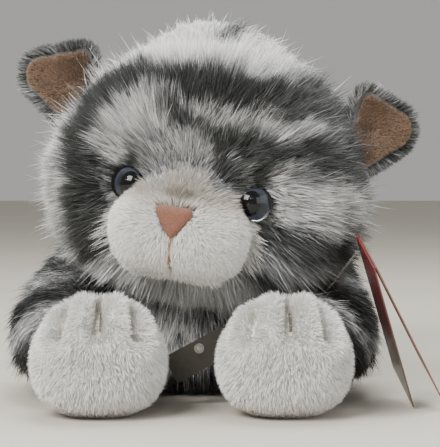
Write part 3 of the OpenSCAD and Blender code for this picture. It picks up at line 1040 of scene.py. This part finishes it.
class KITTEN_OT_ears(bpy.types.Operator):
    """Ears: a stuffed grey back with pile round its rim, and a napped peach lining"""

    bl_idname = "kitten.ears"
    bl_label = "Ears"

    def execute(self, context):
        peach = tuple(colours().ear_peach)
        nap = grained_material("ear_nap", peach, scaled(peach, 0.6), 900, 0.0005, 0.85, 0.9,
                               Sheen_Weight=0.5)
        tabby = pile_material("ear_pile", tabby_stops())
        joints = {j["name"]: j for j in frame["joints"]}
        for side, s in (("left", -1), ("right", 1)):
            hinge = joints["ear_fold_" + side]
            root, axis = np.array(hinge["pos_m"]), unit(np.array(hinge["axis"]))
            out = middle("ear_back_" + side) - root
            out = unit(out - (out @ axis) * axis)
            front = unit(np.cross(axis, out))
            if front[1] > 0:
                front = -front

            def cup(skin, root=root, axis=axis, out=out, front=front):
                """Curls the long edges forward and the tip slightly back."""
                co = coords(skin.data)
                along, up = (co - root) @ out, (co - root) @ axis
                lift = 0.0048 * (up / 0.018) ** 2 - 0.004 * (along / 0.04) ** 2
                set_coords(skin.data, co + front * lift[:, None])

            back = sew("ear_back_skin_" + side, ["ear_back_" + side], 0.0016, 3.0, 0.0006, 3, 0, cup)

            def tone(p, n, root=root, out=out):
                along = ((p - root) @ out) / 0.042
                return 0.5 + 0.16 * waves(p, 0.015, 51) - 0.1 * along

            tone_skin(back, tone, backing_material("ear_backing_" + side, tabby_stops()))
            lining = sew("ear_lining_pad_" + side, ["ear_lining_" + side], 0.0011, 3.0, 0.0005, 2, 0, cup)
            dress(lining, nap)
            for piece, node, slot in ((back, "ear_back_", "grey_pile"), (lining, "ear_lining_", "ear_lining")):
                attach(piece, "ear_" + side)
                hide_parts(node + side)

            def comb(p, n, out=out, root=root, axis=axis):
                heart = root + 0.012 * out
                away = p - heart
                return unit(away - ((away * n).sum(1))[:, None] * n) + 0.6 * out

            lining_tree = skin_tree(lining)

            def where(p, n, root=root, out=out, tree=lining_tree):
                clear = np.array([tree.find_nearest(Vector(q), LINING_CLEARANCE)[3] is None for q in p])
                near_root = ((p - root) @ out) < 0.001
                return clear * (1 - near_root)

            pile("ear_pile_" + side, Pelt(back), "ear_" + side, tabby, 16000, 200 + s,
                 lambda p, n: np.full(len(p), 0.0062), comb, tone, width=0.0003, rise=(58, 26),
                 droop=0.1, lock=8, gather=0.3, where=where)

            def nap_where(p, n, front=front):
                return (n @ front) > 0.3

            nap_stops = [(0, scaled(peach, 0.55)), (0.6, peach), (1, scaled(peach, 1.5))]
            pile("ear_nap_" + side, Pelt(lining), "ear_" + side,
                 pile_material("ear_nap_pile_" + side, nap_stops, 0.75), 7000, 210 + s,
                 lambda p, n: np.full(len(p), 0.0021), comb,
                 lambda p, n: 0.5 + 0.1 * waves(p, 0.008, 52), width=0.0003, rise=(58, 36), droop=0.0,
                 lock=6, gather=0.2, where=nap_where, tone_noise=0.06)
        return {"FINISHED"}


def body_tone(p, n):
    """Tabby bands over the back, a white rump crest with a grey streak, painted shade on the underside near the
    floor, and a pale chest.
    """
    q = p / MM
    bend = 7 * waves(p, 0.06, 61)
    bands = np.sin((q[:, 1] + 0.35 * np.abs(q[:, 0]) + bend) / 6.2)
    tone = 0.46 + 0.36 * bands
    crest = smooth_step(158, 178, q[:, 2]) * smooth_step(-5, 25, q[:, 1]) * smooth_step(135, 110, q[:, 1])
    tone = tone + (0.86 + 0.1 * waves(p, 0.02, 66) - tone) * crest
    streak = np.exp(-(((q[:, 0] - 18 - 0.2 * (q[:, 1] - 60)) / 5.5) ** 2)) * crest
    tone = tone - 0.45 * streak
    # Painted shade: the underside near the floor is darkened.
    underside_shade = smooth_step(30, 8, q[:, 2]) * smooth_step(60, 30, np.abs(q[:, 0]))
    tone = tone + (0.3 - tone) * underside_shade
    chest = smooth_step(-20, -40, q[:, 1]) * smooth_step(22, 34, q[:, 2])
    return tone + (0.88 - tone) * chest


class KITTEN_OT_body(bpy.types.Operator):
    """Body: one stuffed skin with long pile combed back and down"""

    bl_idname = "kitten.body"
    bl_label = "Body"

    def execute(self, context):
        sizes = pile_sizes()
        skin = sew("body_skin", ["body_cover", "body_stuffing"], 0.0045, 4.0, 0.0012, 3, seats=True)
        tone_skin(skin, body_tone, backing_material("body_backing", tabby_stops()))
        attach(skin, "body")
        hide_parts("body_cover")
        pelt = Pelt(skin)
        tabby = pile_material("body_pile", tabby_stops())

        def comb(p, n):
            way = np.zeros_like(p)
            way[:, 1] = 1.0
            way[:, 2] = -0.55 * smooth_step(0.15, 0.06, p[:, 2]) - 0.1
            way[:, 0] = 2.0 * p[:, 0]
            rear = smooth_step(0.10, 0.15, p[:, 1])
            way[:, 2] -= rear * 1.5
            return way

        def length(p, n):
            size = sizes.body_pile * (1 + 0.18 * waves(p, 0.03, 72))
            under = smooth_step(-0.2, -0.8, n[:, 2])
            crest = smooth_step(0.165, 0.188, p[:, 2])
            return size * (1 - 0.72 * under) * (1 - 0.34 * crest)

        seats = self.seats()

        def out_of_floor(p, n):
            keep = 1 - 0.93 * smooth_step(0.004, 0.0015, p[:, 2])
            for spot, reach in seats:
                keep *= np.linalg.norm(p - spot, axis=1) > reach
            near = np.array([head_tree.find_nearest(Vector(q), 0.006)[3] is None for q in p])
            return keep * near

        head_tree = skin_tree(bpy.data.objects["head_skin"])
        regions = {
            "body_pile_crest": (34000, lambda p, n: (p[:, 2] > 0.115) * out_of_floor(p, n)),
            "body_pile_left": (31000, lambda p, n: (p[:, 2] <= 0.117) * (p[:, 0] < 0) * out_of_floor(p, n)),
            "body_pile_right": (31000, lambda p, n: (p[:, 2] <= 0.117) * (p[:, 0] >= 0) * out_of_floor(p, n)),
        }
        for i, (name, (count, where)) in enumerate(regions.items()):
            pile(name, pelt, "body", tabby, count, 300 + i, length, comb, body_tone,
                 width=0.00042, rise=(50, 12), droop=0.3, where=where, strays=0.05, lock=16)

        def fluff_where(p, n):
            return smooth_step(-0.02, -0.035, p[:, 1]) * (p[:, 2] > 0.02)

        def fluff_comb(p, n):
            way = np.zeros_like(p)
            way[:, 2] = -0.8
            way[:, 0] = p[:, 0] * 12
            way[:, 1] = -0.6
            return way

        pile("chest_fluff", pelt, "body", tabby, 16000, 310,
             lambda p, n: np.full(len(p), 0.026), fluff_comb, body_tone, width=0.0004,
             rise=(62, 38), droop=0.2, where=fluff_where, strays=0.05)
        return {"FINISHED"}

    def seats(self):
        """Middles and reach of the pieces that nest in the body, where no pile is set."""
        nested = [(middle("neck_core"), 0.0235)]
        for side in ("left", "right"):
            low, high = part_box("thigh_cover_" + side)
            nested.append((middle("thigh_cover_" + side), (high[2] - low[2]) / 2 + 0.0015))
        return nested


class KITTEN_OT_neck(bpy.types.Operator):
    """Neck: a short stuffed ring under the pile between body and head"""

    bl_idname = "kitten.neck"
    bl_label = "Neck"

    def execute(self, context):
        skin = sew("neck_skin", ["neck_core"], 0.003, 3.0, 0.0005, 2)

        def tone(p, n):
            return 0.4 + 0.2 * waves(p, 0.02, 65)

        tone_skin(skin, tone, backing_material("neck_backing", tabby_stops()))
        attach(skin, "neck")
        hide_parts("neck_core")
        pile("neck_pile", Pelt(skin), "neck", pile_material("neck_pile", tabby_stops()),
             7000, 330, lambda p, n: np.full(len(p), 0.014), lambda p, n: n * [1, 1, 0.2] + [0, 0.3, 0],
             tone, width=0.0005, rise=(60, 25))
        return {"FINISHED"}


def leg_tone(seed):
    def tone(p, n):
        q = p / MM
        bands = np.sin((q[:, 2] * 0.9 + q[:, 1] * 0.35 + 5 * waves(p, 0.04, seed)) / 4.6)
        tone = 0.42 + 0.34 * bands
        wrist = smooth_step(-92, -104, q[:, 1])
        return tone + (0.9 - tone) * wrist
    return tone


class KITTEN_OT_forelegs(bpy.types.Operator):
    """Forelegs: stuffed skins with striped pile"""

    bl_idname = "kitten.forelegs"
    bl_label = "Forelegs"

    def execute(self, context):
        sizes = pile_sizes()
        tabby = pile_material("foreleg_pile", tabby_stops())
        backing = backing_material("foreleg_backing", tabby_stops())
        for side, s in (("left", -1), ("right", 1)):
            body = "foreleg_" + side
            skin = sew("foreleg_skin_" + side, ["foreleg_cover_" + side], 0.0035, 4.0, 0.0015, 4)
            tone = leg_tone(81)
            tone_skin(skin, tone, backing)
            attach(skin, body)
            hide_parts("foreleg_cover_" + side)

            def comb(p, n, s=s):
                way = np.zeros_like(p)
                way[:, 1] = -0.5
                way[:, 0] = s * 0.45
                way[:, 2] = -0.55
                return way

            def length(p, n):
                near_paw = smooth_step(-0.085, -0.104, p[:, 1])
                under = smooth_step(-0.2, -0.8, n[:, 2])
                return sizes.body_pile * 0.72 * (1 - 0.6 * near_paw) * (1 - 0.7 * under)

            def where(p, n):
                return 1 - 0.9 * smooth_step(0.004, 0.002, p[:, 2])

            pile("foreleg_pile_" + side, Pelt(skin), body, tabby, 29000, 400 + s,
                 length, comb, tone, width=0.00034, rise=(52, 14), droop=0.25, where=where,
                 strays=0.06)
        return {"FINISHED"}


def toe_lines(tree, side):
    """Three lines over the front of a paw, a little fanned."""
    low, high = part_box("paw_cover_" + side)
    cx = (low[0] + high[0]) / 2
    cy = low[1] + (high[2] - low[2]) / 2
    cz = (high[2] + low[2]) / 2
    lines = []
    for across, lean in ((-0.0125, -0.12), (0.001, 0.0), (0.0135, 0.12)):
        line = []
        for rise in np.linspace(74, 36, 9):
            a = math.radians(rise)
            way = Vector((0, -math.cos(a), math.sin(a)))
            dx = across * (1 + 0.22 * (1 - rise / 74)) + lean * 0.01 * (74 - rise) / 40
            centre = Vector((cx + dx, cy, cz))
            spot, _, _, _ = tree.ray_cast(centre + way * 0.08, -way)
            if spot is None:
                raise RuntimeError("a toe line misses the paw")
            line.append(np.array(spot))
        lines.append(line)
    return lines


class KITTEN_OT_paws(bpy.types.Operator):
    """Front paws: round stuffed skins, drawn-in toes and dense standing pile"""

    bl_idname = "kitten.paws"
    bl_label = "Front paws"

    def execute(self, context):
        sizes = pile_sizes()
        white = pile_material("paw_pile", white_stops(), 0.84, 0.5)
        backing = backing_material("paw_backing", white_stops(), 0.85)
        thread = grained_material("toe_thread", (0.13, 0.11, 0.08), (0.08, 0.067, 0.047), 2600, 0.0003, 0.7)
        for side, s in (("left", -1), ("right", 1)):
            body = "foreleg_" + side
            skin = sew("paw_skin_" + side, ["paw_cover_" + side], 0.0026, 4.0, 0.0012, 5, 1)
            lines = toe_lines(skin_tree(skin), side)
            for line in lines:
                crease(skin, line, sizes.toe_depth, 0.0031, 0.0026)

            def tone(p, n, lines=lines):
                far = np.min([line_distance(p, np.array(line)) for line in lines], axis=0)
                low = smooth_step(0.018, 0.002, p[:, 2])
                # Painted shade: darker along the toe creases and towards the floor, on pile and backing alike.
                return 0.96 + 0.03 * waves(p, 0.012, 91) - 0.92 * np.exp(-((far / 0.0026) ** 2)) - 0.2 * low

            tone_skin(skin, tone, backing)
            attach(skin, body)
            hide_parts("paw_cover_" + side)

            def length(p, n, lines=lines):
                far = np.min([line_distance(p, np.array(line)) for line in lines], axis=0)
                under = smooth_step(-0.5, -0.9, n[:, 2])
                return sizes.paw_pile * (1 - 0.9 * np.exp(-((far / 0.0036) ** 2))) * (1 - 0.5 * under)

            centre = (np.array(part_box("paw_cover_" + side)[0]) + np.array(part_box("paw_cover_" + side)[1])) / 2

            def comb(p, n, centre=centre, lines=lines):
                way = np.zeros_like(p)
                way[:, 2] = -0.6
                way[:, 1] = -0.5
                way[:, 0] = (p[:, 0] - centre[0]) * 20
                for line in lines:
                    spots = np.array(line)
                    gap = p[:, None, :] - spots[None]
                    far = np.linalg.norm(gap, axis=2)
                    near = far.argmin(1)
                    pick_far = far[np.arange(len(p)), near]
                    away = gap[np.arange(len(p)), near] / np.maximum(pick_far, 1e-6)[:, None]
                    way += 5.0 * np.exp(-((pick_far / 0.004) ** 2))[:, None] * away
                return way

            pile("paw_pile_" + side, Pelt(skin), body, white, 42000, 500 + s, length, comb,
                 tone, width=0.00029, rise=(74, 54), droop=0.1, lock=8, gather=0.18,
                 tone_noise=0.03)
            tree = skin_tree(skin)
            joined = []
            for i, line in enumerate(lines):
                laid = []
                for spot in line[1:-1]:
                    hit, normal, _, _ = tree.find_nearest(Vector(spot))
                    laid.append(hit + normal * 0.0006)
                joined.append(laid_thread(f"toe_thread_{side}_{i}", laid, TOE_THREAD_RADIUS, thread))
            pick(joined[0])
            for other in joined[1:]:
                other.select_set(True)
            bpy.ops.object.join()
            piece = bpy.context.object
            piece.name = "toe_threads_" + side
            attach(piece, body)
            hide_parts("toe_stitch_" + side)
        return {"FINISHED"}


class KITTEN_OT_hind_legs(bpy.types.Operator):
    """Hind legs: a round thigh and a long foot on each side"""

    bl_idname = "kitten.hind_legs"
    bl_label = "Hind legs"

    def execute(self, context):
        sizes = pile_sizes()
        tabby = pile_material("hind_pile", tabby_stops())
        white = pile_material("hind_foot_pile", white_stops(), 0.6, 0.5)
        backing = backing_material("hind_backing", tabby_stops())
        foot_backing = backing_material("hind_foot_backing", white_stops(), 0.7)
        for side, s in (("left", -1), ("right", 1)):
            body = "hind_leg_" + side
            thigh = sew("thigh_skin_" + side, ["thigh_cover_" + side], 0.004, 4.0, 0.0015, 4)
            tone_skin(thigh, body_tone, backing)
            foot = sew("hind_foot_skin_" + side, ["hind_foot_" + side], 0.003, 4.0, 0.001, 4)

            def foot_tone(p, n):
                return 0.82 + 0.1 * waves(p, 0.02, 95) - 0.5 * smooth_step(0.045, 0.075, p[:, 1])

            tone_skin(foot, foot_tone, foot_backing)
            for piece, node, slot in ((thigh, "thigh_cover_", "grey_pile"), (foot, "hind_foot_", "white_pile")):
                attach(piece, body)
                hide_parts(node + side)

            def comb(p, n, s=s):
                way = np.zeros_like(p)
                way[:, 2] = -0.8
                way[:, 1] = 0.3
                way[:, 0] = s * 0.15
                return way

            def foot_comb(p, n, s=s):
                way = np.zeros_like(p)
                way[:, 2] = -0.5
                way[:, 1] = -0.8
                way[:, 0] = s * 0.1
                return way

            def outside(p, n, s=s):
                return (p[:, 0] * s > 0.052) * (1 - 0.9 * smooth_step(0.004, 0.002, p[:, 2]))

            pile("thigh_pile_" + side, Pelt(thigh), body, tabby, 14000, 600 + s,
                 lambda p, n: np.full(len(p), sizes.body_pile * 0.85), comb, body_tone, width=0.00045,
                 rise=(50, 12), where=outside, strays=0.05)
            pile("hind_foot_pile_" + side, Pelt(foot), body, white, 15000, 610 + s,
                 lambda p, n: np.full(len(p), 0.0065), foot_comb, foot_tone, width=0.0005,
                 rise=(58, 28), lock=8, gather=0.35)
        return {"FINISHED"}


class KITTEN_OT_tail(bpy.types.Operator):
    """Tail: banded pile to a dark tip"""

    bl_idname = "kitten.tail"
    bl_label = "Tail"

    def execute(self, context):
        root = np.array(next(j for j in frame["joints"] if j["name"] == "tail_swing")["pos_m"])
        skin = sew("tail_skin", ["tail_cover", "tail_stuffing"], 0.0035, 4.0, 0.0015, 14, seats=True)
        low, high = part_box("tail_cover")
        low, high = np.array(low), np.array(high)
        line = np.array([root, (0.010, high[1] - 0.0145, 0.017), (0.0626, high[1] - 0.0165, 0.013),
                         (high[0] - 0.0135, high[1] - 0.045, 0.013)])
        seg = np.linalg.norm(np.diff(line, axis=0), axis=1)
        start = np.concatenate([[0], np.cumsum(seg)])

        def along(p):
            best = np.full(len(p), 1e9)
            place = np.zeros(len(p))
            way = np.zeros_like(p)
            for i in range(len(seg)):
                ab = line[i + 1] - line[i]
                t = np.clip(((p - line[i]) @ ab) / (ab @ ab), 0, 1)
                far = np.linalg.norm(p - line[i] - t[:, None] * ab, axis=1)
                near = far < best
                best = np.where(near, far, best)
                place = np.where(near, start[i] + t * seg[i], place)
                way[near] = ab / seg[i]
            return place, way

        def tone(p, n):
            place, _ = along(p)
            tone = 0.45 + 0.36 * np.sin(place / 0.0048 + waves(p, 0.03, 97))
            return tone + (0.1 - tone) * smooth_step(0.115, 0.135, place)

        tone_skin(skin, tone, backing_material("tail_backing", tabby_stops()))
        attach(skin, "tail")
        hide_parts("tail_cover")
        pile("tail_pile", Pelt(skin), "tail", pile_material("tail_pile", tabby_stops()), 24000,
             700, lambda p, n: np.full(len(p), 0.0125) * (1 - 0.6 * smooth_step(-0.3, -0.9, n[:, 2])),
             lambda p, n: along(p)[1], tone, width=0.00045, rise=(48, 12), droop=0.15, strays=0.05)
        return {"FINISHED"}


class KITTEN_OT_tags(bpy.types.Operator):
    """Folded swing tag and the plain card between the paws"""

    bl_idname = "kitten.tags"
    bl_label = "Tags"

    def execute(self, context):
        red = tuple(colours().tag_red)
        front = grained_material("tag_card_front", red, scaled(red, 0.8), 260, 0.00005, 0.38, 0.3,
                                 Coat_Weight=0.35, Coat_Roughness=0.2)
        inner = grained_material("tag_card_back", (0.22, 0.085, 0.06), (0.17, 0.065, 0.045),
                                 260, 0.00005, 0.45, 0.3)
        # Painted shade: the plain card is near black for the shade it stands in between the paws.
        note = grained_material("note_card", (0.030, 0.026, 0.018), (0.022, 0.019, 0.013),
                                500, 0.00008, 0.55, 0.4)
        self.fold_highlight_and_foot(front, red)
        dress_node("tag_front", front)
        dress_node("tag_back", inner)
        dress_node("note_card", note)
        return {"FINISHED"}

    def fold_highlight_and_foot(self, mat, red):
        """Painted highlight: brighter red at the fold, where light from above falls, and a brown foot."""
        tree = mat.node_tree
        shader = tree.nodes["Principled BSDF"]
        low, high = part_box("tag_front")
        place = tree.nodes.new("ShaderNodeTexCoord")
        split = tree.nodes.new("ShaderNodeSeparateXYZ")
        grade = tree.nodes.new("ShaderNodeMapRange")
        grade.inputs["From Min"].default_value = low[2]
        grade.inputs["From Max"].default_value = high[2]
        # Painted highlight at the top of the ramp, over the fold.
        ramp = ramp_node(tree, [(0.0, (0.075, 0.055, 0.022)), (0.3, (0.06, 0.028, 0.016)), (0.7, red),
                                (0.93, scaled(red, 1.3)), (1.0, (0.36, 0.012, 0.016))])
        tree.links.new(place.outputs["Object"], split.inputs[0])
        tree.links.new(split.outputs["Z"], grade.inputs["Value"])
        tree.links.new(grade.outputs["Result"], ramp.inputs[0])
        tree.links.new(ramp.outputs["Color"], shader.inputs["Base Color"])


class KITTEN_PT_panel(bpy.types.Panel):
    """Steps of the making, in order"""

    bl_label = "Plush kitten"
    bl_space_type = "VIEW_3D"
    bl_region_type = "UI"
    bl_category = "Kitten"

    def draw(self, context):
        column = self.layout.column()
        for group in (context.scene.kitten_pile, context.scene.kitten_colours):
            for name in group.__annotations__:
                column.prop(group, name)
        for step in STEPS:
            column.operator(step.bl_idname)


STEPS = [
    KITTEN_OT_camera, KITTEN_OT_stage, KITTEN_OT_inner_parts, KITTEN_OT_head, KITTEN_OT_eyes,
    KITTEN_OT_nose_and_mouth, KITTEN_OT_ears, KITTEN_OT_body, KITTEN_OT_neck, KITTEN_OT_forelegs,
    KITTEN_OT_paws, KITTEN_OT_hind_legs, KITTEN_OT_tail, KITTEN_OT_tags,
]
CLASSES = [KittenPileSizes, KittenColours, *STEPS, KITTEN_PT_panel]


def register():
    for cls in CLASSES:
        bpy.utils.register_class(cls)
    bpy.types.Scene.kitten_pile = bpy.props.PointerProperty(type=KittenPileSizes)
    bpy.types.Scene.kitten_colours = bpy.props.PointerProperty(type=KittenColours)


def unregister():
    del bpy.types.Scene.kitten_colours
    del bpy.types.Scene.kitten_pile
    for cls in reversed(CLASSES):
        bpy.utils.unregister_class(cls)


def main():
    register()
    for step in STEPS:
        area, name = step.bl_idname.split(".")
        getattr(getattr(bpy.ops, area), name)()


if __name__ == "__main__":
    main()
